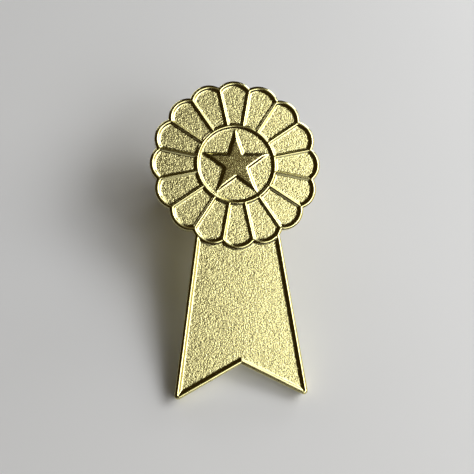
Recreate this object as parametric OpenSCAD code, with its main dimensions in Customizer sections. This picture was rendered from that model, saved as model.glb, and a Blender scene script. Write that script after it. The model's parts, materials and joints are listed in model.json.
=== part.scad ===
// Award rosette lapel pin: a struck metal rosette with a star and a swallow-tailed ribbon,
// on a nail-shaped post that a butterfly clutch grips behind the cloth.
// The badge is drawn flat, with the back face at height 0, its front towards +Z and the
// rosette's centre over the post. The whole pin is then laid down as it rests on a table:
// the clutch's wings and the ribbon's two tips touch the surface, which is Z = 0.

/* [Rosette] */
// Radius to the tips of the petals
rosette_r = 8.65; // [8:0.05:10]
// Number of petals
petals = 16; // [12:2:20]
// Radius of each petal's round end
petal_end_r = 2.1; // [1.9:0.05:2.3]
// Radius of the middle of the ring round the star
ring_r = 3.95; // [3.6:0.05:4.4]

/* [Star] */
// Radius to the points of the star
star_r = 3.3; // [2.4:0.05:3.4]
// Radius to the inner corners of the star, as a share of the radius to its points
star_waist = 0.382; // [0.34:0.002:0.5]

/* [Ribbon] */
// Width of the ribbon, carried up to the rosette's centre
ribbon_root_w = 6.4; // [5.6:0.1:7.4]
// Width across the ribbon's two tips
ribbon_tip_w = 13.18; // [11:0.02:15]
// Distance from the rosette's centre down to the ribbon's tips, before they are rounded
ribbon_drop = 23.24; // [20:0.02:28]
// Depth of the swallow-tail notch
notch_depth = 3.4; // [2:0.1:6]
// Radius of the ribbon's rounded tips
tip_round = 0.35; // [0.2:0.05:0.6]

/* [Relief] */
// Thickness of the badge, from its back to the top of its rims
badge_t = 1.3; // [1:0.05:2]
// Depth of the fields below the rims
field_depth = 0.2; // [0.2:0.05:0.6]
// Width of the rim round the outline
rim_w = 0.42; // [0.3:0.02:0.6]
// Width of the rim between two petals
web_w = 0.3; // [0.2:0.02:0.5]
// Width of the ring round the star
ring_w = 0.43; // [0.3:0.01:0.6]

/* [Post] */
// Diameter of the post
post_d = 1.1; // [0.9:0.05:1.2]
// Distance from the badge's back to the tip of the post
post_len = 7.6; // [6.6:0.1:7.6]
// Length of the post's point
point_len = 0.9; // [0.6:0.1:1.2]
// Diameter of the flat tip
tip_d = 0.16; // [0.1:0.02:0.3]
// Diameter of the post's flat head
head_d = 3.2; // [2.6:0.1:3.6]
// Thickness of the post's flat head
head_t = 0.4; // [0.3:0.05:0.5]
// Diameter of the shallow seat that is struck for the head in the badge's back
seat_d = 4.2; // [3.8:0.1:5]
// Depth of that seat
seat_depth = 0.12; // [0.08:0.02:0.2]
// Length of the grip groove round the post
groove_len = 0.4; // [0.3:0.05:0.6]
// Depth of the grip groove
groove_depth = 0.12; // [0.06:0.02:0.16]

/* [Clutch] */
// Room for cloth between the badge's back and the clutch
cloth_gap = 2.1; // [2.05:0.05:2.6]
// Diameter of the clutch's disc
disc_d = 11.4; // [11:0.1:12.4]
// Thickness of the disc's sheet
sheet_t = 0.35; // [0.3:0.01:0.4]
// Radius of the disc's rolled edge
roll_r = 0.6; // [0.5:0.05:0.7]
// Radial gap between the post and the hole in the disc
hole_gap = 0.07; // [0.05:0.01:0.1]
// Radial gap between the post and the jaws that grip it
jaw_gap = 0.03; // [0.02:0.01:0.05]

/* [Wings] */
// Width of the spring strip that the wings are bent from
wing_w = 4.4; // [3.6:0.1:4.6]
// Thickness of the spring strip
strip_t = 0.3; // [0.25:0.01:0.34]
// Radius of a wing's big curl, to the middle of the strip
curl_r = 1.45; // [1.3:0.05:1.5]
// Height of the straight leg between the jaw and the curl
leg_len = 2.8; // [2.6:0.05:3]
// Length of the straight side of the wing, above the curl
ear_len = 1.15; // [0.9:0.05:1.3]

/* [Hidden] */
$fn = 96;
eps = 0.01;
gold = "gold";
pale_gold = "khaki";
brass = "goldenrod";
spring_brass = "darkgoldenrod";

// Rosette
half_pitch = 180 / petals;
lobe_c = rosette_r - petal_end_r;
field_z = badge_t - field_depth;

// Ribbon: its sides are the lines x = root - flare * y, its notch the lines y = -apex - cut * |x|
root = ribbon_root_w / 2;
flare = (ribbon_tip_w / 2 - root) / ribbon_drop;
apex = ribbon_drop - notch_depth;
cut = notch_depth / (ribbon_tip_w / 2);
side_slant = sqrt(1 + flare * flare);
cut_slant = sqrt(1 + cut * cut);
ribbon_top = lobe_c - rim_w;

// Half width of the ribbon at a height y, and the notch's corner, for an outline drawn d further in
function half_width(y, d = 0) = root - d * side_slant - flare * y;
function notch_y(d = 0) = -(apex - d * cut_slant);
// The sharp corner where a side meets the notch
function tip_x(d = 0) = (half_width(0, d) - flare * notch_y(d)) / (1 - flare * cut);
function tip_y(d = 0) = notch_y(d) - cut * tip_x(d);
// The lowest point of the rounded tips
tip_low = -tip_y(tip_round) + tip_round;

// Post
post_r = post_d / 2;
head_low = head_t - seat_depth;
groove_at = post_len - point_len - 0.8;

// Clutch: depths are measured down from its cloth side
jaw_depth = 0.9;
bend_r = 0.35;
leg_x = 1.6;
curl_depth = jaw_depth + bend_r + leg_len;
clutch_h = curl_depth + curl_r + strip_t / 2;
ear_curl_r = 0.5;
ear_curl_turn = 115;
jaw_edge = 0.12;
cap_x = 6.8;
cap_y = 5.5;
cap_depth = 1.75;
cap_t = 0.3;
window_x = 3.66;
window_y = wing_w + 0.2;

// The rest on a table: the wings' near edges and the ribbon's tips touch it
stand_h = cloth_gap + clutch_h;
rest_tilt = atan(stand_h / (tip_low - wing_w / 2));
rest_lift = tip_low * sin(rest_tilt);
rest_shift = ((tip_low - rosette_r) * cos(rest_tilt) + badge_t * sin(rest_tilt)) / 2;

module at_rest() {
    translate([0, rest_shift, rest_lift])
        rotate([rest_tilt, 0, 0])
            children();
}

// ---- outlines of the badge ----

module rosette_outline() {
    circle(r = lobe_c);
    for (k = [0 : petals - 1])
        rotate(k * 360 / petals)
            translate([0, lobe_c])
                circle(r = petal_end_r);
}

// A swallow-tailed band, drawn d inside the outer edge, with tips of radius r
module ribbon_outline(d, r) {
    cx = tip_x(d + r);
    cy = tip_y(d + r);
    side = [cx + r / side_slant, cy + r * flare / side_slant];
    under = [cx - r * cut / cut_slant, cy - r / cut_slant];
    polygon([
        [half_width(-ribbon_top, d), -ribbon_top], side, [cx, cy], under,
        [0, notch_y(d)],
        [-under[0], under[1]], [-cx, cy], [-side[0], side[1]],
        [-half_width(-ribbon_top, d), -ribbon_top]
    ]);
    for (s = [-1, 1])
        translate([s * cx, cy])
            circle(r = r);
}

// The sunk field of one petal, pointing up
module petal_field() {
    inner_end = web_w / 2 / sin(half_pitch);
    edge_x = rosette_r * tan(half_pitch) - web_w / 2 / cos(half_pitch);
    difference() {
        intersection() {
            polygon([[0, inner_end], [edge_x, rosette_r], [-edge_x, rosette_r]]);
            union() {
                translate([0, lobe_c])
                    circle(r = petal_end_r - rim_w);
                translate([-lobe_c / 2, 0])
                    square([lobe_c, lobe_c]);
            }
        }
        circle(r = ring_r + ring_w / 2);
    }
}

module star_outline() {
    polygon([for (k = [0 : 9])
        let (r = k % 2 == 0 ? star_r : star_r * star_waist)
        [r * sin(k * 36), r * cos(k * 36)]]);
}

module sunk_fields() {
    for (k = [0 : petals - 1])
        rotate(k * 360 / petals)
            petal_field();
    difference() {
        circle(r = ring_r - ring_w / 2);
        star_outline();
    }
    difference() {
        ribbon_outline(rim_w, eps);
        rosette_outline();
    }
}

// ---- the sub-parts ----

module badge_blank() {
    linear_extrude(badge_t)
        rosette_outline();
    linear_extrude(badge_t)
        ribbon_outline(0, tip_round);
}

// One struck blank: rosette, star and ribbon with raised rims round sunk fields
module struck_badge() {
    color(gold)
        at_rest()
            difference() {
                badge_blank();
                translate([0, 0, field_z])
                    linear_extrude(field_depth + eps)
                        sunk_fields();
                translate([0, 0, -eps])
                    cylinder(d = seat_d, h = seat_depth + eps);
            }
}

// The collar of solder that holds the post's head in its seat
module post_solder() {
    collar = [[head_d / 2, seat_depth], [seat_d / 2, seat_depth],
              [seat_d / 2, 0], [head_d / 2, -head_low * 0.7]];
    color(pale_gold)
        at_rest()
            rotate_extrude()
                polygon(collar);
}

// A nail: flat head, straight shank with a grip groove, and a point
module post() {
    shank_end = -(post_len - point_len);
    half = [
        [0, seat_depth], [head_d / 2, seat_depth], [head_d / 2, -head_low],
        [post_r, -head_low], [post_r, -groove_at],
        [post_r - groove_depth, -groove_at - groove_depth],
        [post_r - groove_depth, -groove_at - groove_len + groove_depth],
        [post_r, -groove_at - groove_len],
        [post_r, shank_end], [tip_d / 2, -post_len], [0, -post_len]
    ];
    color(pale_gold)
        at_rest()
            rotate_extrude()
                polygon(half);
}

// Places a clutch piece, whose cloth side is at height 0
module in_clutch() {
    at_rest()
        translate([0, 0, -cloth_gap])
            children();
}

// The disc that presses on the cloth, with its edge rolled away from it
module clutch_disc() {
    disc_r = disc_d / 2;
    color(brass)
        in_clutch()
            rotate_extrude() {
                translate([post_r + hole_gap, -sheet_t])
                    square([disc_r - roll_r - post_r - hole_gap, sheet_t]);
                intersection() {
                    translate([disc_r - roll_r, -roll_r])
                        difference() {
                            circle(r = roll_r);
                            circle(r = roll_r - sheet_t);
                        }
                    translate([disc_r - roll_r, -roll_r])
                        square(roll_r);
                }
                translate([disc_r - sheet_t, -roll_r * 1.6])
                    square([sheet_t, roll_r * 0.6]);
            }
}

// The stamped cap under the disc that keeps the jaws in place, open for the wings' legs
module clutch_cap() {
    rim_h = cap_depth - sheet_t;
    color(brass)
        in_clutch()
            translate([0, 0, -cap_depth])
                difference() {
                    translate([-cap_x / 2, -cap_y / 2, 0])
                        cube([cap_x, cap_y, rim_h]);
                    translate([-cap_x / 2 + cap_t, -cap_y / 2 + cap_t, cap_t])
                        cube([cap_x - 2 * cap_t, cap_y - 2 * cap_t, rim_h]);
                    translate([-window_x / 2, -window_y / 2, -eps])
                        cube([window_x, window_y, rim_h]);
                }
}

// Part of a ring of strip round the origin, from angle a to angle b, up to half a turn
module strip_arc(r, a, b) {
    reach = 2 * (r + strip_t);
    intersection() {
        difference() {
            circle(r = r + strip_t / 2);
            circle(r = r - strip_t / 2);
        }
        polygon([[0, 0], for (k = [0 : 4])
            let (t = a + (b - a) * k / 4)
            [reach * cos(t), reach * sin(t)]]);
    }
}

// A wing's edge: jaw, bend, leg, big curl, straight ear and small curl, with depth upwards
module wing_edge() {
    t = strip_t;
    translate([jaw_edge, jaw_depth - t / 2])
        square([leg_x - bend_r - jaw_edge, t]);
    translate([leg_x - bend_r, jaw_depth + bend_r])
        strip_arc(bend_r, -90, 0);
    translate([leg_x - t / 2, jaw_depth + bend_r])
        square([t, leg_len]);
    translate([leg_x + curl_r, curl_depth])
        strip_arc(curl_r, 0, 180);
    translate([leg_x + 2 * curl_r - t / 2, curl_depth - ear_len])
        square([t, ear_len]);
    translate([leg_x + 2 * curl_r - ear_curl_r, curl_depth - ear_len])
        strip_arc(ear_curl_r, -ear_curl_turn, 0);
}

// One wing of spring strip, with a half-round notch in its jaw for the post; side is 1 or -1
module wing(side) {
    color(spring_brass)
        in_clutch()
            mirror([side < 0 ? 1 : 0, 0, 0])
                difference() {
                    rotate([-90, 0, 0])
                        translate([0, 0, -wing_w / 2])
                            linear_extrude(wing_w)
                                wing_edge();
                    translate([0, 0, -jaw_depth - strip_t])
                        cylinder(r = post_r + jaw_gap, h = 2 * strip_t);
                }
}

module clutch_wing_left() { wing(-1); }

module clutch_wing_right() { wing(1); }

struck_badge();
post_solder();
post();
clutch_disc();
clutch_cap();
clutch_wing_left();
clutch_wing_right();
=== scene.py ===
"""Looks of the award rosette lapel pin: its struck relief, grain and metals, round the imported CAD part.

The relief is drawn in the badge's own axes, in millimetres: x to the right, y towards the top petal,
z out of the face, with the flat back at z = 0 and the post on the line x = y = 0.
"""

import json
import math

import bmesh
import bpy
import numpy as np
from mathutils import Matrix, Vector
from mathutils.geometry import delaunay_2d_cdt


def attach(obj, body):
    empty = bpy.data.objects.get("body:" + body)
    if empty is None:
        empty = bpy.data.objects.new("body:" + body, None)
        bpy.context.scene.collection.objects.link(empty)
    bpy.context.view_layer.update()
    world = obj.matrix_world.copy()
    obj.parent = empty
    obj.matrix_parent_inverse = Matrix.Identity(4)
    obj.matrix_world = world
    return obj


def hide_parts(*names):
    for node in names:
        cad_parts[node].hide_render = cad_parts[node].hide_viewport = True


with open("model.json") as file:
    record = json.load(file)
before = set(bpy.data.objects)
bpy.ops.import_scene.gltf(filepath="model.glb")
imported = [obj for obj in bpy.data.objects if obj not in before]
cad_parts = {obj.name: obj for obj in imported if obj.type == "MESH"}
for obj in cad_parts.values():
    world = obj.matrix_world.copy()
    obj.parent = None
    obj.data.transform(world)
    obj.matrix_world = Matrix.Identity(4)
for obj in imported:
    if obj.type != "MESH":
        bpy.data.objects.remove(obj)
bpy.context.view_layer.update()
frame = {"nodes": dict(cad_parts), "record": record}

MM = 0.001
rng = np.random.default_rng(16)


# ---- the badge's axes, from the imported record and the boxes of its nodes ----

def plate_matrix():
    """The badge's axes in the row frame: the mount on its back gives the place and the direction."""
    back = next(m for m in frame["record"]["mounts"] if m["name"] == "back_face")
    face = -Vector(back["axis"]).normalized()
    across = Vector((1, 0, 0))
    up = face.cross(across)
    turn = Matrix((across, up, face)).transposed().to_4x4()
    return Matrix.Translation(Vector(back["pos_m"])) @ turn


PLATE = plate_matrix()


def span(node, axis):
    """Lowest and highest place of a node along one of the badge's axes, in millimetres."""
    inverse = PLATE.inverted()
    values = [(inverse @ v.co)[axis] / MM for v in frame["nodes"][node].data.vertices]
    return min(values), max(values)


# Outline of the badge
ROSETTE_R = span("struck_badge", 0)[1]
BADGE_T = span("struck_badge", 2)[1]
PETALS = 16
PETAL_R = 2.10
LOBE_C = ROSETTE_R - PETAL_R
RIBBON_DROP = 23.24
RIBBON_ROOT = 3.2
RIBBON_FLARE = 0.1459
NOTCH_DEPTH = 3.4
TIP_ROUND = 0.35
NOTCH_CUT = NOTCH_DEPTH / (RIBBON_ROOT + RIBBON_FLARE * RIBBON_DROP)
NOTCH_APEX = RIBBON_DROP - NOTCH_DEPTH
SIDE_SLANT = math.hypot(1, RIBBON_FLARE)
CUT_SLANT = math.hypot(1, NOTCH_CUT)

# Struck relief
FIELD_DEPTH = 0.2
CREST_INSET = 0.22
CREST_FLAT = 0.07
BEVEL_DROP = 0.12
SKIRT_W = 0.08
RIM_SLOPE = 0.34
WEB_SLOPE = 0.235
RING_R = 3.95
RING_SLOPE = 0.28
STAR_BASE_R = 3.82
STAR_WAIST = 0.382
STAR_SLOPE = 0.315
GRAIN = 0.013

HALF_PITCH = math.pi / PETALS
VALLEY_R = (LOBE_C * math.cos(HALF_PITCH)
            + math.sqrt((PETAL_R - CREST_INSET) ** 2 - (LOBE_C * math.sin(HALF_PITCH)) ** 2))


# ---- distances in the badge's plane, positive inside ----

def folded(x, y, sector):
    """Polar coordinates with the angle from +Y folded into the nearest of the equal sectors."""
    turn = np.arctan2(x, y)
    return np.hypot(x, y), np.abs((turn + sector / 2) % sector - sector / 2)


def rosette_distance(x, y):
    r, a = folded(x, y, 2 * HALF_PITCH)
    return np.maximum(PETAL_R - np.hypot(r * np.sin(a), r * np.cos(a) - LOBE_C), LOBE_C - r)


def tip_centre():
    """Middle of the rounding of the right-hand ribbon tip."""
    side = RIBBON_ROOT - TIP_ROUND * SIDE_SLANT
    notch = -(NOTCH_APEX - TIP_ROUND * CUT_SLANT)
    x = (side - RIBBON_FLARE * notch) / (1 - RIBBON_FLARE * NOTCH_CUT)
    return x, notch - NOTCH_CUT * x


def ribbon_distance(x, y):
    x = np.abs(x)
    side = (RIBBON_ROOT - RIBBON_FLARE * y - x) / SIDE_SLANT
    notch = (y + NOTCH_APEX + NOTCH_CUT * x) / CUT_SLANT
    cx, cy = tip_centre()
    past_side = (x - cx) * RIBBON_FLARE - (y - cy)
    past_notch = (x - cx) - (y - cy) * NOTCH_CUT
    rounded = TIP_ROUND - np.hypot(x - cx, y - cy)
    sharp = np.minimum(side, notch)
    tip = np.where((past_side > 0) & (past_notch > 0), rounded, sharp)
    return np.minimum(tip, -y - LOBE_C + 0.6)


def outline_distance(x, y):
    return np.maximum(rosette_distance(x, y), ribbon_distance(x, y))


def star_distance(x, y):
    """Distance inside the five-pointed star's base line, with every corner sharp."""
    r, a = folded(x, y, 2 * math.pi / 5)
    waist = STAR_BASE_R * STAR_WAIST
    ex, ey = waist * math.sin(math.pi / 5), waist * math.cos(math.pi / 5) - STAR_BASE_R
    length = math.hypot(ex, ey)
    return (r * np.sin(a) * ey - (r * np.cos(a) - STAR_BASE_R) * ex) / length


# ---- the relief: how far the surface lies below the rims ----

def eased(u, ease=0.16):
    """Straight from 0 to 1, with both ends rounded off."""
    u = np.clip(u, 0, 1)
    k = 2 * ease * (1 - ease)
    middle = (u - ease / 2) / (1 - ease)
    return np.where(u < ease, u * u / k, np.where(u > 1 - ease, 1 - (1 - u) ** 2 / k, middle))


def flank(e, slope):
    """Drop of an inner slope at distance e from the crest line."""
    return FIELD_DEPTH * eased((e - CREST_FLAT / 2) / slope)


def rim(e, slope):
    """Drop across a rim on the outline: e is the distance from its crest line, positive inwards."""
    bevel = CREST_INSET - CREST_FLAT / 2
    outside = (BEVEL_DROP * eased((-e - CREST_FLAT / 2) / bevel)
               + (FIELD_DEPTH - BEVEL_DROP) * eased((-e - CREST_INSET) / SKIRT_W))
    return np.where(e > 0, flank(e, slope), outside)


def drop(x, y):
    """Depth of the struck surface below the top of the rims."""
    d_rosette = rosette_distance(x, y) - CREST_INSET
    d_ribbon = ribbon_distance(x, y) - CREST_INSET
    r, a = folded(x, y, 2 * HALF_PITCH)
    web = np.where(r < VALLEY_R, flank(r * np.sin(HALF_PITCH - a), WEB_SLOPE), FIELD_DEPTH)
    web = np.where(r > RING_R, web, FIELD_DEPTH)
    ring = flank(np.abs(r - RING_R), RING_SLOPE)
    star = FIELD_DEPTH * (1 - eased(star_distance(x, y) / STAR_SLOPE))
    inside = np.minimum.reduce([rim(d_rosette, RIM_SLOPE), web, ring, star])
    outside = np.minimum(rim(d_rosette, RIM_SLOPE), rim(d_ribbon, RIM_SLOPE))
    return np.where(d_rosette > 0, inside, outside)


# ---- loops and filling ----

# The search grid for contours: its cells, its room round the badge, a shift that keeps it off the
# badge's axes, and the fewest points of a loop that counts
CELL = 0.06
GRID_ROOM = 0.5
GRID_SHIFT = (0.0131, 0.0077)
LOOP_MIN = 8


def contour(field, level, step):
    """Closed loops where field(x, y) is level, each a list of points about step apart."""
    xs = np.arange(-ROSETTE_R - GRID_ROOM, ROSETTE_R + GRID_ROOM, CELL) + GRID_SHIFT[0]
    ys = np.arange(-RIBBON_DROP - GRID_ROOM, ROSETTE_R + GRID_ROOM, CELL) + GRID_SHIFT[1]
    gx, gy = np.meshgrid(xs, ys, indexing="ij")
    value = field(gx, gy) - level
    above = value > 0
    where = {}

    def crossing(i, j, k, m):
        key = (i, j, k, m)
        if key not in where:
            t = value[i, j] / (value[i, j] - value[k, m])
            where[key] = (xs[i] + t * (xs[k] - xs[i]), ys[j] + t * (ys[m] - ys[j]))
        return key

    links = {}
    count = (above[:-1, :-1].astype(int) + above[1:, :-1] + above[:-1, 1:] + above[1:, 1:])
    for i, j in zip(*np.nonzero((count > 0) & (count < 4))):
        corners = [(i, j), (i + 1, j), (i + 1, j + 1), (i, j + 1)]
        cuts = []
        for p, q in zip(corners, corners[1:] + corners[:1]):
            if above[p] != above[q]:
                low, high = sorted((p, q))
                cuts.append(crossing(*low, *high))
        for p, q in zip(cuts[::2], cuts[1::2]):
            links.setdefault(p, []).append(q)
            links.setdefault(q, []).append(p)
    loops = []
    while links:
        start = next(iter(links))
        loop, here = [start], start
        while links.get(here):
            there = links[here].pop()
            links[there].remove(here)
            if not links[here]:
                del links[here]
            here = there
            loop.append(here)
        links.pop(here, None)
        points = np.array([where[k] for k in loop])
        if len(points) > LOOP_MIN:
            loops.append(snapped(field, level, even(points, step)))
    return loops


def even(points, step):
    """The closed loop again, with its points evenly spaced."""
    if np.hypot(*(points[0] - points[-1])) > 1e-9:
        points = np.vstack([points, points[:1]])
    along = np.concatenate([[0], np.cumsum(np.hypot(*np.diff(points, axis=0).T))])
    count = max(6, int(round(along[-1] / step)))
    at = np.linspace(0, along[-1], count, endpoint=False)
    return np.column_stack([np.interp(at, along, points[:, k]) for k in (0, 1)])


def gradient(field, x, y, tiny=0.002):
    """How fast field grows along x and along y."""
    gx = (field(x + tiny, y) - field(x - tiny, y)) / (2 * tiny)
    gy = (field(x, y + tiny) - field(x, y - tiny)) / (2 * tiny)
    return gx, gy


def snapped(field, level, points, reach=0.02):
    """The points moved onto the line where field is level, by no more than reach at a time."""
    for _ in range(3):
        x, y = points.T
        gx, gy = gradient(field, x, y)
        size = np.maximum(gx * gx + gy * gy, 1e-6)
        off = (level - field(x, y)) / size
        move = np.column_stack([gx * off, gy * off])
        length = np.maximum(np.hypot(*move.T), 1e-9)
        points = points + move * np.minimum(1, reach / length)[:, None]
    return points


class Sheet:
    """Points and lines in a plane that are filled with triangles."""

    def __init__(self):
        self.points, self.edges = [], []

    def add(self, points, closed=False, keep=None):
        """Adds points, joined to a loop if closed, without those that keep drops. Returns their indices."""
        keep = np.ones(len(points), bool) if keep is None else keep
        index = {}
        for k, p in enumerate(points):
            if keep[k]:
                index[k] = len(self.points)
                self.points.append(Vector((float(p[0]), float(p[1]))))
        if closed:
            pairs = zip(range(len(points)), [*range(1, len(points)), 0])
            self.edges += [(index[a], index[b]) for a, b in pairs if a in index and b in index]
        return [index[k] for k in sorted(index)]

    def fill(self, border, inset=0.0, band=0.1):
        """Triangles inside the border, which runs inset inside the outline, and where each point went.

        The outline's distance sorts the triangles, and within() sorts those in the band at the border.
        """
        verts, _, faces, origin, _, _ = delaunay_2d_cdt(self.points, self.edges, [], 0, 1e-6, True)
        place = {old: new for new, olds in enumerate(origin) for old in olds}
        co = np.array([tuple(v) for v in verts])
        tris = np.array([f for f in faces if len(f) == 3])
        middle = co[tris].mean(axis=1)
        distance = outline_distance(*middle.T) - inset
        keep, near = distance > 0, np.abs(distance) < band
        keep[near] = within(middle[near], border)
        return co, tris[keep], place


def within(points, loop):
    """Which points a closed loop goes round."""
    x, y = points.T
    inside = np.zeros(len(points), bool)
    for (ax, ay), (bx, by) in zip(loop, np.roll(loop, -1, axis=0)):
        if ay != by:
            inside ^= ((ay > y) != (by > y)) & (x < ax + (y - ay) * (bx - ax) / (by - ay))
    return inside


def hexagonal(spacing):
    """A grid of points over the badge's box, in staggered rows."""
    rows = np.arange(-RIBBON_DROP, ROSETTE_R, spacing * math.sqrt(3) / 2)
    points = []
    for n, y in enumerate(rows):
        x = np.arange(-ROSETTE_R, ROSETTE_R, spacing) + (n % 2) * spacing / 2
        points.append(np.column_stack([x, np.full_like(x, y)]))
    return np.vstack(points)


def clear_of_slopes(points, low, high, room):
    """Which points have a drop between low and high, and so has everything within room of them."""
    ok = outline_distance(*points.T) > room
    for k in range(7):
        shift = (0, 0) if k == 6 else (room * math.cos(k * math.pi / 3), room * math.sin(k * math.pi / 3))
        d = drop(points[:, 0] + shift[0], points[:, 1] + shift[1])
        ok &= (d >= low) & (d <= high)
    return ok


# ---- meshes ----

def new_object(name, co, faces, body, material, replaces):
    """A mesh piece, with co in millimetres in the badge's axes."""
    mesh = bpy.data.meshes.new(name)
    matrix = np.array(PLATE)
    world = (np.asarray(co) * MM) @ matrix[:3, :3].T + matrix[:3, 3]
    mesh.from_pydata(world.tolist(), [], [tuple(int(k) for k in f) for f in faces])
    mesh.validate()
    outward(mesh)
    mesh.shade_smooth()
    obj = bpy.data.objects.new(name, mesh)
    bpy.context.scene.collection.objects.link(obj)
    obj.data.materials.append(material)
    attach(obj, body)
    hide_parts(*replaces)
    return obj


def outward(mesh):
    """Turns every face to look out of the closed skin."""
    skin = bmesh.new()
    skin.from_mesh(mesh)
    bmesh.ops.recalc_face_normals(skin, faces=skin.faces)
    skin.to_mesh(mesh)
    skin.free()
    mesh.update()


def without_spares(co, faces):
    """The points that faces use, the faces renumbered for them, and which points were used."""
    used = np.zeros(len(co), bool)
    for f in faces:
        used[list(f)] = True
    number = np.cumsum(used) - 1
    return co[used], [tuple(int(number[k]) for k in f) for f in faces], used


def set_attribute(obj, name, values):
    attribute = obj.data.attributes.new(name, "FLOAT", "POINT")
    attribute.data.foreach_set("value", np.asarray(values, np.float32))


def smooth_noise(points, size, seed, cells=97):
    """Value noise in the plane, about -1 to 1, with features of that size."""
    table = np.random.default_rng(seed).uniform(-1, 1, (cells, cells))
    u = points / size
    cell = np.floor(u).astype(int)
    f = u - cell
    f = f * f * (3 - 2 * f)
    i, j = cell[:, 0] % cells, cell[:, 1] % cells
    i2, j2 = (i + 1) % cells, (j + 1) % cells
    low = table[i, j] * (1 - f[:, 0]) + table[i2, j] * f[:, 0]
    high = table[i, j2] * (1 - f[:, 0]) + table[i2, j2] * f[:, 0]
    return low * (1 - f[:, 1]) + high * f[:, 1]


class Skin:
    """Points and faces of one closed skin, gathered part by part."""

    def __init__(self):
        self.parts, self.faces, self.count = [], [], 0

    def add(self, points):
        """Adds points and returns their numbers."""
        first = self.count
        self.parts.append(np.asarray(points))
        self.count += len(points)
        return first + np.arange(len(points))


# Spacings of the points: along the outline and the slopes' contours, in the fields, on tops, on the back
OUTLINE_STEP = 0.1
CONTOUR_STEP = 0.09
FIELD_STEP = 0.08
TOP_STEP = 0.1
BACK_STEP = 0.6
# Room that the points keep: contours to the outline, fields and tops to the slopes, back to its edges
CONTOUR_ROOM = 0.03
FIELD_ROOM = 0.05
TOP_ROOM = 0.07
BACK_ROOM = 0.4
# Shares of the depth that get a contour, and a depth that counts as none
CONTOUR_SHARES = (0.05, 0.25, 0.5, 0.75, 0.95)
LEVEL = 1e-6
# The grain: size of its lumps, their share beside the finest grain, and the star's share of it
LUMP = 0.19
LUMP_SHARE = 0.5
STAR_GRAIN = 0.4
# The share of the depth from which the surface is sandblasted, and the width of the star mask's edge
SAND_FROM = 0.93
STAR_FADE = 0.1
# The back's rounded border, the height below which a point counts as the back, and the post's seat
BACK_INSET = 0.09
BACK_LEVEL = 0.03
SEAT_POINTS = 96
SEAT_LIP = 0.06


def struck_front(skin, outline):
    """The struck relief with its grain. Gives the edge's point numbers and two masks: sand and star."""
    sheet = Sheet()
    rim_index = sheet.add(outline, closed=True)
    for share in CONTOUR_SHARES:
        for loop in contour(drop, share * FIELD_DEPTH, CONTOUR_STEP):
            sheet.add(loop, closed=True, keep=outline_distance(*loop.T) > CONTOUR_ROOM)
    fields = hexagonal(FIELD_STEP)
    sheet.add(fields[clear_of_slopes(fields, FIELD_DEPTH - LEVEL, 1, FIELD_ROOM)])
    tops = hexagonal(TOP_STEP)
    sheet.add(tops[clear_of_slopes(tops, -1, LEVEL, TOP_ROOM)])
    co, tris, place = sheet.fill(outline)
    depth = drop(*co.T)
    sand = np.clip((depth / FIELD_DEPTH - SAND_FROM) / (1 - SAND_FROM), 0, 1)
    grain = LUMP_SHARE * smooth_noise(co, LUMP, 3) + rng.uniform(-1, 1, len(co))
    star = np.clip((star_distance(*co.T) - STAR_SLOPE) / STAR_FADE, 0, 1)
    z = BADGE_T - depth + GRAIN * (sand + STAR_GRAIN * star) * grain
    skin.add(np.column_stack([co, z]))
    skin.faces += [tuple(t) for t in tris]
    return np.array([place[k] for k in rim_index]), sand, star


def walls(skin, edge, outline):
    """Rings below the outline, the last ones rounding into the back. Gives the last one and its numbers."""
    gx, gy = gradient(outline_distance, *outline.T)
    size = np.maximum(np.hypot(gx, gy), 0.5)
    inward = np.column_stack([gx / size, gy / size])
    upright = [(0.0, BADGE_T - BEVEL_DROP - 0.03), (0.0, 0.5), (0.0, 0.1)]
    rounding = [(0.012, 0.05), (0.04, 0.012), (BACK_INSET, 0.0)]
    for inset, height in upright + rounding:
        ring = outline + inward * inset
        here = skin.add(np.column_stack([ring, np.full(len(ring), height)]))
        skin.faces += quads(edge, here)
        edge = here
    return ring, edge


def back_with_seat(skin, ring, edge):
    """The back, flat out to the walls, with the seat struck for the post's head."""
    sheet = Sheet()
    edge_index = sheet.add(ring, closed=True)
    seat_r = span("post_solder", 0)[1]
    seat_z = span("post_solder", 2)[1]
    seat_edge = seat_r + SEAT_LIP
    turn = np.linspace(0, 2 * math.pi, SEAT_POINTS, endpoint=False)
    circle = np.column_stack([np.cos(turn), np.sin(turn)])
    seat_index = sheet.add(circle * seat_edge, closed=True)
    coarse = hexagonal(BACK_STEP)
    clear = (outline_distance(*coarse.T) > BACK_ROOM) & (np.hypot(*coarse.T) > seat_r + BACK_ROOM)
    sheet.add(coarse[clear])
    co, tris, place = sheet.fill(ring, BACK_INSET)
    tris = tris[np.hypot(*co[tris].mean(axis=1).T) > seat_edge * math.cos(math.pi / SEAT_POINTS)]
    number = skin.add(np.column_stack([co, np.zeros(len(co))]))
    seat = number[[place[k] for k in seat_index]]
    number[[place[k] for k in edge_index]] = edge
    skin.faces += [tuple(number[t[::-1]]) for t in tris]
    for radius, height in ((seat_r + 0.015, 0.012), (seat_r, 0.05), (seat_r, seat_z)):
        here = skin.add(np.column_stack([circle * radius, np.full(SEAT_POINTS, height)]))
        skin.faces += quads(seat, here)
        seat = here
    middle = skin.add([(0, 0, seat_z)])[0]
    skin.faces += [(a, b, middle) for a, b in zip(seat, np.roll(seat, -1))]


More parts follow.
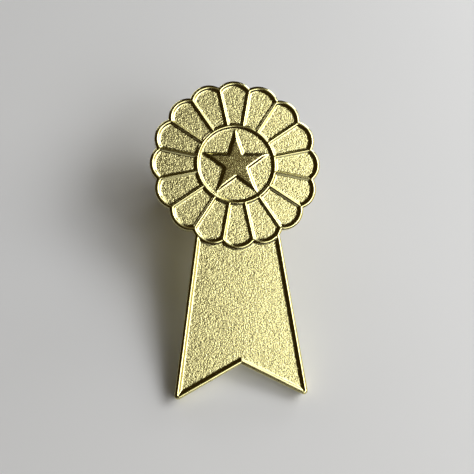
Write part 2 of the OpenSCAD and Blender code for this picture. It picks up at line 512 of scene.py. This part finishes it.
def struck_badge(material):
    """The struck relief, its walls and its back, as one closed skin."""
    skin = Skin()
    outline = contour(outline_distance, 0.0, OUTLINE_STEP)[0]
    edge, sand, star = struck_front(skin, outline)
    ring, edge = walls(skin, edge, outline)
    back_with_seat(skin, ring, edge)
    co, faces, used = without_spares(np.vstack(skin.parts), skin.faces)
    obj = new_object("badge_relief", co, faces, "badge", material, ["struck_badge"])
    rest = np.zeros(len(used) - len(sand))
    set_attribute(obj, "sand", np.concatenate([sand, rest])[used])
    set_attribute(obj, "star", np.concatenate([star, rest])[used])
    set_attribute(obj, "back", co[:, 2] < BACK_LEVEL)
    return obj


def quads(upper, lower):
    """Faces between two rings of as many points."""
    n = len(upper)
    rows = ((upper[k], lower[k], lower[(k + 1) % n], upper[(k + 1) % n]) for k in range(n))
    return [tuple(int(number) for number in row) for row in rows]


# ---- the post and the clutch: turned, stamped and bent pieces ----

CLOTH_GAP = -span("clutch_disc", 2)[1]
POST_R = 0.55
SHEET_T = 0.35
STRIP_T = 0.3


def arc(centre, radius, start, end, steps):
    """Points on an arc, from one angle to the other in degrees."""
    angles = np.radians(np.linspace(start, end, steps + 1))
    return [(centre[0] + radius * math.cos(t), centre[1] + radius * math.sin(t)) for t in angles]


def rounded(points, radii, steps=5):
    """The line of points with its corners rounded off by arcs."""
    result = []
    for k, (p, radius) in enumerate(zip(points, radii)):
        if radius <= 0 or k in (0, len(points) - 1):
            result.append(p)
            continue
        p = Vector(p)
        before, after = Vector(points[k - 1]) - p, Vector(points[k + 1]) - p
        u, v = before.normalized(), after.normalized()
        half = u.angle(v) / 2
        reach = min(radius / math.tan(half), 0.49 * before.length, 0.49 * after.length)
        centre = p + (u + v).normalized() * (reach / math.cos(half))
        a, b = p + u * reach - centre, p + v * reach - centre
        turn = math.atan2(a.x * b.y - a.y * b.x, a.dot(b))
        for s in range(steps + 1):
            c, d = math.cos(turn * s / steps), math.sin(turn * s / steps)
            result.append((centre.x + a.x * c - a.y * d, centre.y + a.x * d + a.y * c))
    return result


def thickened(path, thickness, cap_steps=5):
    """The closed outline of a strip of that thickness along the path, with rounded ends."""
    p = np.array(path)
    p = p[np.concatenate([[True], np.hypot(*np.diff(p, axis=0).T) > 1e-4])]
    along = np.gradient(p, axis=0)
    along /= np.hypot(*along.T)[:, None]
    normal = np.column_stack([-along[:, 1], along[:, 0]]) * thickness / 2
    left, right = p + normal, p - normal

    def cap(at, direction, side):
        return [at + direction * math.sin(t) * thickness / 2 + side * math.cos(t)
                for t in np.linspace(0, math.pi, cap_steps + 2)[1:-1]]

    end = cap(p[-1], along[-1], normal[-1])
    start = cap(p[0], -along[0], -normal[0])
    return [tuple(q) for q in [*left, *end, *right[::-1], *start]]


def lathe(profile, segments=72, closed=False, wobble=None):
    """A skin turned round the post's line from (radius, height) points; ends on the line close it."""
    angles = np.linspace(0, 2 * math.pi, segments, endpoint=False)
    co, rings = [], []
    for radius, height in profile:
        first = len(co)
        if radius < 1e-6:
            co.append((0, 0, height))
            rings.append([first] * segments)
            continue
        swell = 1 if wobble is None else 1 + wobble(angles)
        co += [(radius * w * math.cos(t), radius * w * math.sin(t), height)
               for t, w in zip(angles, np.broadcast_to(swell, angles.shape))]
        rings.append(list(range(first, first + segments)))
    faces = []
    for upper, lower in zip(rings, rings[1:] + (rings[:1] if closed else [])):
        for f in quads(upper, lower):
            f = tuple(dict.fromkeys(f))
            if len(f) > 2:
                faces.append(f)
    return co, faces


def in_clutch(points):
    """Clutch depths, counted from its cloth side, as heights in the badge's axes."""
    return [(r, -CLOTH_GAP - depth) for r, depth in points]


def post_nail(material):
    """The nail: flat head, shank with its grip groove, and a blunted point."""
    low, top = span("post", 2)
    head_r = span("post", 0)[1]
    head_low, groove = -0.28, -5.9
    points = [(0, top), (head_r, top), (head_r, head_low), (POST_R, head_low),
              (POST_R, groove), (POST_R - 0.12, groove - 0.12), (POST_R - 0.12, groove - 0.28),
              (POST_R, groove - 0.4), (POST_R, low + 0.9), (0.08, low), (0, low)]
    radii = [0, 0.03, 0.09, 0.16, 0.06, 0.05, 0.05, 0.06, 0.3, 0.07, 0]
    co, faces = lathe(rounded(points, radii, steps=6), segments=64)
    return new_object("post_nail", co, faces, "badge", material, ["post"])


def solder_fillet(material):
    """The collar of solder, hollowed between the badge's back and the head's side."""
    outer, inner = span("post_solder", 0)[1], span("post", 0)[1] - 0.01
    low, top = span("post_solder", 2)
    hollow = [(inner + (outer - inner) * (1 - math.sin(t)), low * (1 - math.cos(t)))
              for t in np.radians(np.linspace(0, 90, 12))]
    profile = [(inner, top), (outer - 0.01, top)] + hollow
    bumps = [(3, 0.5, 0.004), (5, 1.9, 0.003), (8, 4.0, 0.002)]
    co, faces = lathe(profile, segments=96, closed=True,
                      wobble=lambda t: -abs(sum(h * np.sin(n * t + p) for n, p, h in bumps)))
    return new_object("solder_fillet", co, faces, "badge", material, ["post_solder"])


def stamped_disc(material):
    """The disc that presses on the cloth: a stamped bead, a round-edged hole and a rolled edge."""
    edge = span("clutch_disc", 0)[1]
    mid, roll = SHEET_T / 2, 0.425
    hole_r, flat_r, bead_r = POST_R + 0.27, 2.2, 3.9
    swell = ((-0.6, 0), (-0.3, 0.04), (0, 0.11), (0.3, 0.04), (0.6, 0))
    bead = [(bead_r + out, mid + up) for out, up in swell]
    rolled_edge = arc((edge - mid - roll, mid + roll), roll, -90, 105, 18)
    path = [(hole_r, mid), (flat_r, mid)] + bead + rolled_edge
    outline = thickened(rounded(path, [0] + [0.15] * (len(path) - 2) + [0], steps=2), SHEET_T)
    co, faces = lathe(in_clutch(outline), segments=96, closed=True)
    return new_object("disc_stamping", co, faces, "clutch", material, ["clutch_disc"])


def rounded_rectangle(half_x, half_y, radius, corner=7, side=5):
    """A closed loop with the same number of points whatever its size."""
    signs = ((1, 1), (-1, 1), (-1, -1), (1, -1))
    corners = [arc((sx * (half_x - radius), sy * (half_y - radius)), radius, 90 * k, 90 * k + 90, corner)
               for k, (sx, sy) in enumerate(signs)]
    points = []
    for turn, following in zip(corners, corners[1:] + corners[:1]):
        start, end = np.array(turn[-1]), np.array(following[0])
        points += turn + [tuple(start + (end - start) * s / side) for s in range(1, side)]
    return points


def stamped_cap(material):
    """The cap that keeps the jaws in place: a shallow tray with a window for the legs."""
    half_x, half_y = span("clutch_cap", 0)[1], span("clutch_cap", 1)[1]
    low, high = span("clutch_cap", 2)
    top, bottom = -high - CLOTH_GAP, -low - CLOTH_GAP
    t, lip = 0.3, 0.07
    window_x, window_y = 1.83, 2.3
    # The tray's outside as (inset, depth), then its window's edge and its inside with the corner's radius
    shell = [(0.0, top), (0.0, bottom - 0.34), (0.04, bottom - 0.2), (0.12, bottom - 0.08),
             (0.24, bottom - 0.015), (0.4, bottom)]
    edge = [(lip, 0.4, bottom), (0.01, 0.36, bottom - lip / 2), (0, 0.35, bottom - t / 2),
            (0.01, 0.36, bottom - t + lip / 2), (lip, 0.4, bottom - t)]
    inside = [(t + 0.25, 0.6, bottom - t), (t + 0.06, 0.66, bottom - t - 0.07),
              (t, 0.68, bottom - t - 0.25), (t, 0.68, top + 0.05), (t - 0.05, 0.7, top)]
    rings = [(half_x - d, half_y - d, 0.95 - d * 0.6, depth) for d, depth in shell]
    rings += [(window_x + d, window_y + d, radius, depth) for d, radius, depth in edge]
    rings += [(half_x - d, half_y - d, radius, depth) for d, radius, depth in inside]
    co, loops = [], []
    for hx, hy, radius, depth in rings:
        loop = rounded_rectangle(hx, hy, radius)
        loops.append(np.arange(len(loop)) + len(co))
        co += [(x, y, -CLOTH_GAP - depth) for x, y in loop]
    faces = [f for a, b in zip(loops, loops[1:] + loops[:1]) for f in quads(a, b)]
    return new_object("cap_stamping", co, faces, "clutch", material, ["clutch_cap"])


def wing_path():
    """Middle of the spring strip from the jaw to the small curl, as (distance from the post, depth)."""
    jaw, bend, leg_x, curl, curl_depth, ear, small = 0.9, 0.35, 1.6, 1.45, 4.05, 1.15, 0.5
    path = [(0.5, jaw), (0.8, jaw), (1.05, jaw)]
    path += arc((leg_x - bend, jaw + bend), bend, -90, 0, 6)
    path += [(leg_x, depth) for depth in np.linspace(jaw + bend, curl_depth, 7)[1:-1]]
    path += arc((leg_x + curl, curl_depth), curl, 180, 0, 26)
    path += [(leg_x + 2 * curl, curl_depth - ear * s / 4) for s in (1, 2, 3)]
    path += arc((leg_x + 2 * curl - small, curl_depth - ear), small, 0, -115, 12)
    return np.array(path)


def bent_wing(side, name, material):
    """One wing of spring strip: a notched jaw, the leg, the big curl to pinch, and a rounded end."""
    half_w = 0.5 * (span(name, 1)[1] - span(name, 1)[0])
    path = wing_path()
    along = np.gradient(path, axis=0)
    along /= np.hypot(*along.T)[:, None]
    normal = np.column_stack([-along[:, 1], along[:, 0]])
    to_end = np.concatenate([np.cumsum(np.hypot(*np.diff(path[::-1], axis=0).T))[::-1], [0]])
    corner, edge = 0.8, 0.07
    # Places across the strip, closest together at the notch
    across = np.concatenate([[-half_w + edge], np.linspace(-1.6, -0.75, 3), np.linspace(-0.6, 0.6, 13),
                             np.linspace(0.75, 1.6, 3), [half_w - edge]])
    h = STRIP_T / 2
    right_edge = [(half_w - 0.02, h - 0.03), (half_w, 0), (half_w - 0.02, -h + 0.03)]
    left_edge = [(-w, -up) for w, up in right_edge]
    ring = [(w, h) for w in across] + right_edge + [(w, -h) for w in across[::-1]] + left_edge
    n = len(ring)
    # The rings before jaw_end reach in to the notch that the post runs in
    jaw_end, notch_r, notch_floor = 3, POST_R + 0.03, 0.12
    co = []
    for k, (p, q, left) in enumerate(zip(path, normal, to_end)):
        narrow = 1 - (corner - math.sqrt(max(0, corner ** 2 - max(0, corner - left) ** 2))) / half_w
        for w, up in ring:
            x, depth = p + q * up
            if k < jaw_end:
                begin = max(notch_floor, math.sqrt(max(0, notch_r ** 2 - w * w)))
                x = begin + (path[jaw_end][0] - begin) * k / jaw_end
            co.append((side * x, w * narrow, -CLOTH_GAP - depth))
    rings = [list(range(k * n, k * n + n)) for k in range(len(path))]
    faces = [f for a, b in zip(rings, rings[1:]) for f in quads(a, b)]
    # Both ends are closed by faces from the strip's upper side to its lower side
    m = len(across)
    for first, flip in ((rings[0], False), (rings[-1], True)):
        upper, lower = first[:m], first[m + 3:2 * m + 3][::-1]
        cap = [(upper[k], upper[k + 1], lower[k + 1], lower[k]) for k in range(m - 1)]
        cap += [(upper[-1], *first[m:m + 3], lower[-1]), (lower[0], *first[2 * m + 3:], upper[0])]
        faces += [f[::-1] if flip else f for f in cap]
    if side > 0:
        faces = [f[::-1] for f in faces]
    body = "wing_right" if side > 0 else "wing_left"
    return new_object(body + "_strip", co, faces, body, material, [name])


# ---- materials ----

def node(tree, kind, **values):
    n = tree.nodes.new(kind)
    for key, value in values.items():
        setattr(n, key, value)
    return n


GOLD = (0.885, 0.822, 0.375)
# Painted shade: the dark colour given to the specks that stand in for the shade in the sandblasted grain's
# pits
PAINTED_PIT_SHADE = (0.36, 0.28, 0.10)
BRASS = (0.82, 0.66, 0.34)
NAIL = (0.88, 0.77, 0.40)
SOLDER = (0.84, 0.74, 0.42)


def metal(name, colour, roughness):
    """A metallic material, with its node tree and shader."""
    material = bpy.data.materials.new(name)
    material.use_nodes = True
    tree = material.node_tree
    shader = tree.nodes["Principled BSDF"]
    shader.inputs["Base Color"].default_value = (*colour, 1)
    shader.inputs["Metallic"].default_value = 1
    shader.inputs["Roughness"].default_value = roughness
    return material, tree, shader


def noise(tree, scale, detail=2.0, stretch=(1, 1, 1), rough=0.5):
    """Noise in the object's own metres, with about scale features to the metre."""
    place = node(tree, "ShaderNodeTexCoord")
    mapping = node(tree, "ShaderNodeMapping")
    mapping.inputs["Scale"].default_value = stretch
    texture = node(tree, "ShaderNodeTexNoise")
    texture.inputs["Scale"].default_value = scale
    texture.inputs["Detail"].default_value = detail
    texture.inputs["Roughness"].default_value = rough
    tree.links.new(place.outputs["Object"], mapping.inputs["Vector"])
    tree.links.new(mapping.outputs["Vector"], texture.inputs["Vector"])
    return texture.outputs["Fac"]


def ranged(tree, value, low, high, out_low, out_high):
    """The value, mapped from one range to another and held to it."""
    n = node(tree, "ShaderNodeMapRange")
    for key, number in (("From Min", low), ("From Max", high), ("To Min", out_low), ("To Max", out_high)):
        n.inputs[key].default_value = number
    tree.links.new(value, n.inputs["Value"])
    return n.outputs["Result"]


def maths(tree, operation, a, b):
    n = node(tree, "ShaderNodeMath", operation=operation)
    for socket, value in zip(n.inputs, (a, b)):
        if isinstance(value, (int, float)):
            socket.default_value = value
        else:
            tree.links.new(value, socket)
    return n.outputs[0]


def mixed(tree, share, a, b):
    """Colour a going over to colour b as share goes from 0 to 1."""
    n = node(tree, "ShaderNodeMix", data_type="RGBA")
    tree.links.new(share, n.inputs["Factor"])
    for socket, value in ((n.inputs[6], a), (n.inputs[7], b)):
        if isinstance(value, tuple):
            socket.default_value = (*value, 1)
        else:
            tree.links.new(value, socket)
    return n.outputs[2]


def scaled(colour, k):
    return tuple(c * k for c in colour)


def bumped(tree, shader, heights):
    """Bumps one after another: each is (height, distance in metres, strength)."""
    normal = None
    for height, distance, strength in heights:
        bump = node(tree, "ShaderNodeBump")
        bump.inputs["Distance"].default_value = distance
        tree.links.new(height, bump.inputs["Height"])
        if isinstance(strength, (int, float)):
            bump.inputs["Strength"].default_value = strength
        else:
            tree.links.new(strength, bump.inputs["Strength"])
        if normal is not None:
            tree.links.new(normal, bump.inputs["Normal"])
        normal = bump.outputs["Normal"]
    tree.links.new(normal, shader.inputs["Normal"])
    tree.links.new(normal, shader.inputs["Coat Normal"])


def struck_gold():
    """Pale gold plate: sandblasted in the fields, smoother on the star, bright on the rims, with painted
    shade as dark specks in the grain's pits.
    """
    material, tree, shader = metal("struck_gold", GOLD, 0.2)
    sand = node(tree, "ShaderNodeAttribute", attribute_name="sand").outputs["Fac"]
    star = node(tree, "ShaderNodeAttribute", attribute_name="star").outputs["Fac"]
    back = node(tree, "ShaderNodeAttribute", attribute_name="back").outputs["Fac"]
    blasted = maths(tree, "MAXIMUM", sand, maths(tree, "MULTIPLY", star, 0.5))
    grain = noise(tree, 9500, 1, rough=0.6)
    # Painted shade: random dark specks, weaker in the sandblasted fields and stronger on the star, stand in
    # for the shade in the grain's pits
    painted_pit_specks = ranged(tree, noise(tree, 9800, 0), 0.38, 0.5, 1, 0)
    clouds = noise(tree, 300, 2)
    colour = mixed(tree, ranged(tree, clouds, 0.3, 0.7, 0, 1), scaled(GOLD, 0.97), GOLD)
    in_sand, in_star = maths(tree, "MULTIPLY", sand, 0.35), maths(tree, "MULTIPLY", star, 0.9)
    pit_shade_share = maths(tree, "MAXIMUM", in_sand, in_star)
    painted_pit_shade = maths(tree, "MULTIPLY", painted_pit_specks, pit_shade_share)
    colour = mixed(tree, painted_pit_shade, colour, PAINTED_PIT_SHADE)
    tree.links.new(colour, shader.inputs["Base Color"])
    polish = ranged(tree, noise(tree, 1500, 3), 0.3, 0.7, 0.12, 0.2)
    matt = ranged(tree, grain, 0.3, 0.7, 0.22, 0.31)
    rough = node(tree, "ShaderNodeMix", data_type="FLOAT")
    tree.links.new(blasted, rough.inputs["Factor"])
    tree.links.new(polish, rough.inputs[2])
    tree.links.new(matt, rough.inputs[3])
    dull = maths(tree, "MULTIPLY", back, ranged(tree, noise(tree, 700, 3), 0.3, 0.7, 0.08, 0.2))
    tree.links.new(maths(tree, "ADD", rough.outputs[0], dull), shader.inputs["Roughness"])
    peel = noise(tree, 2200, 2)
    scratches = noise(tree, 2600, 2, stretch=(1, 0.06, 1))
    bumped(tree, shader, [(grain, 0.000053, blasted), (scratches, 0.000004, 0.5), (peel, 0.00004, back)])
    shader.inputs["Coat Weight"].default_value = 0.9
    shader.inputs["Coat Roughness"].default_value = 0.14
    return material


def worked_brass(name, colour, roughness, stretch, scale, depth, tarnish=0.25):
    """Sheet, strip or turned metal: drawn marks along one way, soft clouds of tarnish, uneven shine."""
    material, tree, shader = metal(name, colour, roughness)
    marks = noise(tree, scale, 3, stretch=stretch)
    clouds = noise(tree, 420, 3)
    dull = ranged(tree, clouds, 0.42, 0.72, 0, tarnish)
    tone = mixed(tree, dull, colour, (colour[0] * 0.62, colour[1] * 0.50, colour[2] * 0.42))
    tree.links.new(tone, shader.inputs["Base Color"])
    shine = maths(tree, "ADD", ranged(tree, marks, 0.3, 0.7, roughness - 0.05, roughness + 0.05),
                  maths(tree, "MULTIPLY", dull, 0.3))
    tree.links.new(shine, shader.inputs["Roughness"])
    bumped(tree, shader, [(marks, depth, 0.6)])
    return material


# ---- camera, floor and lights ----

# The camera's place and the point it looks at, in the badge's axes
LENS = 51.65
CAMERA_AT = (-9.85, -15.69, 67.5)
AIM_AT = (-0.12, -7.42, 1.3)
CAMERA_ROLL = 1.45


def camera():
    data = bpy.data.cameras.new("camera")
    data.lens, data.sensor_width = LENS, 36
    data.clip_start, data.clip_end = 0.001, 50
    cam = bpy.data.objects.new("camera", data)
    bpy.context.scene.collection.objects.link(cam)
    at, aim = PLATE @ (Vector(CAMERA_AT) * MM), PLATE @ (Vector(AIM_AT) * MM)
    view = (aim - at).normalized()
    up = PLATE.to_3x3() @ Vector((0, 1, 0))
    right = view.cross(up).normalized()
    up = right.cross(view)
    turn = Matrix((right, up, -view)).transposed()
    turn = Matrix.Rotation(math.radians(CAMERA_ROLL), 3, view) @ turn
    cam.matrix_world = Matrix.Translation(at) @ turn.to_4x4()
    bpy.context.scene.camera = cam


# Where the floor starts to fade, and where it has gone, in metres from the middle
FLOOR_FADE = (0.07, 0.20)
FLOOR_GREYS = ((0.73, 0.742, 0.757), (0.755, 0.762, 0.772))


def floor():
    """A pale table top that fades into the backdrop, and is clear from below to show the underside."""
    mesh = bpy.data.meshes.new("floor")
    half = FLOOR_FADE[1]
    corners = [(-half, -half, 0), (half, -half, 0), (half, half, 0), (-half, half, 0)]
    mesh.from_pydata(corners, [], [(0, 1, 2, 3)])
    obj = bpy.data.objects.new("floor", mesh)
    bpy.context.scene.collection.objects.link(obj)
    material = bpy.data.materials.new("floor")
    material.use_nodes = True
    tree = material.node_tree
    shader, output = tree.nodes["Principled BSDF"], tree.nodes["Material Output"]
    shader.inputs["Roughness"].default_value = 0.55
    shader.inputs["Specular IOR Level"].default_value = 0.3
    tone = mixed(tree, ranged(tree, noise(tree, 9, 3), 0.3, 0.7, 0, 1), *FLOOR_GREYS)
    tree.links.new(tone, shader.inputs["Base Color"])
    bumped(tree, shader, [(noise(tree, 900, 3), 0.00002, 0.15)])
    below = node(tree, "ShaderNodeNewGeometry").outputs["Backfacing"]
    place = node(tree, "ShaderNodeTexCoord").outputs["Object"]
    length = node(tree, "ShaderNodeVectorMath", operation="LENGTH")
    tree.links.new(place, length.inputs[0])
    far = ranged(tree, length.outputs["Value"], FLOOR_FADE[0], FLOOR_FADE[1], 0, 1)
    clear = node(tree, "ShaderNodeBsdfTransparent")
    either = node(tree, "ShaderNodeMixShader")
    tree.links.new(maths(tree, "MAXIMUM", below, far), either.inputs[0])
    tree.links.new(shader.outputs[0], either.inputs[1])
    tree.links.new(clear.outputs[0], either.inputs[2])
    tree.links.new(either.outputs[0], output.inputs["Surface"])
    obj.data.materials.append(material)


# Lights: azimuth and elevation of the middle seen from the object, distance in metres, the angles that
# the light spans across and upwards, all in degrees, its radiance and its colour
DAYLIGHT = (1.0, 1.0, 1.0)
ROOM = (1.0, 0.90, 0.60)
LAMPLIGHT = (1.0, 0.86, 0.48)
LIGHTS = {
    "window": (-12, 46, 0.35, 44, 26, 3.3, DAYLIGHT),
    "window_near": (-52, 41, 0.40, 34, 28, 2.5, DAYLIGHT),
    "window_far": (10, 37, 0.35, 34, 24, 3.2, DAYLIGHT),
    "doorway": (50, 20, 0.25, 18, 16, 5.5, DAYLIGHT),
    "high_pane": (30, 48, 0.35, 32, 26, 1.9, DAYLIGHT),
    "wall_behind": (122, 13, 0.28, 34, 20, 2.2, DAYLIGHT),
    "wall_far": (3, 15, 0.50, 60, 22, 0.7, LAMPLIGHT),
    "ceiling": (-57, 74, 0.45, 30, 30, 0.17, ROOM),
}
# The dark room, and the plain backdrop seen behind the pin from other sides
SURROUNDINGS = (0.020, 0.012, 0.002)
BACKDROP = (0.55, 0.55, 0.56)


def soft_light(name, azimuth, elevation, distance, across, upwards, radiance, colour):
    """A rectangular soft light of that radiance, aimed at the object."""
    data = bpy.data.lights.new(name, "AREA")
    data.shape = "RECTANGLE"
    data.size = 2 * distance * math.tan(math.radians(across / 2))
    data.size_y = 2 * distance * math.tan(math.radians(upwards / 2))
    data.energy = math.pi * data.size * data.size_y * radiance
    data.color = colour
    light = bpy.data.objects.new(name, data)
    bpy.context.scene.collection.objects.link(light)
    a, e = math.radians(azimuth), math.radians(elevation)
    outward = Vector((math.cos(a) * math.cos(e), math.sin(a) * math.cos(e), math.sin(e)))
    light.matrix_world = (Matrix.Translation(outward * distance)
                          @ (-outward).to_track_quat("-Z", "Y").to_matrix().to_4x4())


def lights():
    for name, values in LIGHTS.items():
        soft_light(name, *values)
    world = bpy.context.scene.world or bpy.data.worlds.new("world")
    bpy.context.scene.world = world
    world.use_nodes = True
    tree = world.node_tree
    background = tree.nodes.get("Background") or node(tree, "ShaderNodeBackground")
    seen = node(tree, "ShaderNodeLightPath").outputs["Is Camera Ray"]
    tree.links.new(mixed(tree, seen, SURROUNDINGS, BACKDROP), background.inputs["Color"])
    bpy.context.scene.view_settings.view_transform = "Standard"


gold = struck_gold()
struck_badge(gold)
brass = worked_brass("stamped_brass", BRASS, 0.24, (1, 1, 1), 2200, 0.00001)
spring = worked_brass("rolled_brass", scaled(BRASS, 0.96), 0.22, (1, 0.05, 1), 5200, 0.000008)
post_nail(worked_brass("plated_nail", NAIL, 0.2, (1, 1, 0.08), 5000, 0.000006, 0.12))
solder_fillet(worked_brass("plated_solder", SOLDER, 0.36, (1, 1, 1), 3000, 0.00002, 0.3))
stamped_disc(brass)
stamped_cap(brass)
bent_wing(1, "clutch_wing_right", spring)
bent_wing(-1, "clutch_wing_left", spring)
camera()
floor()
lights()
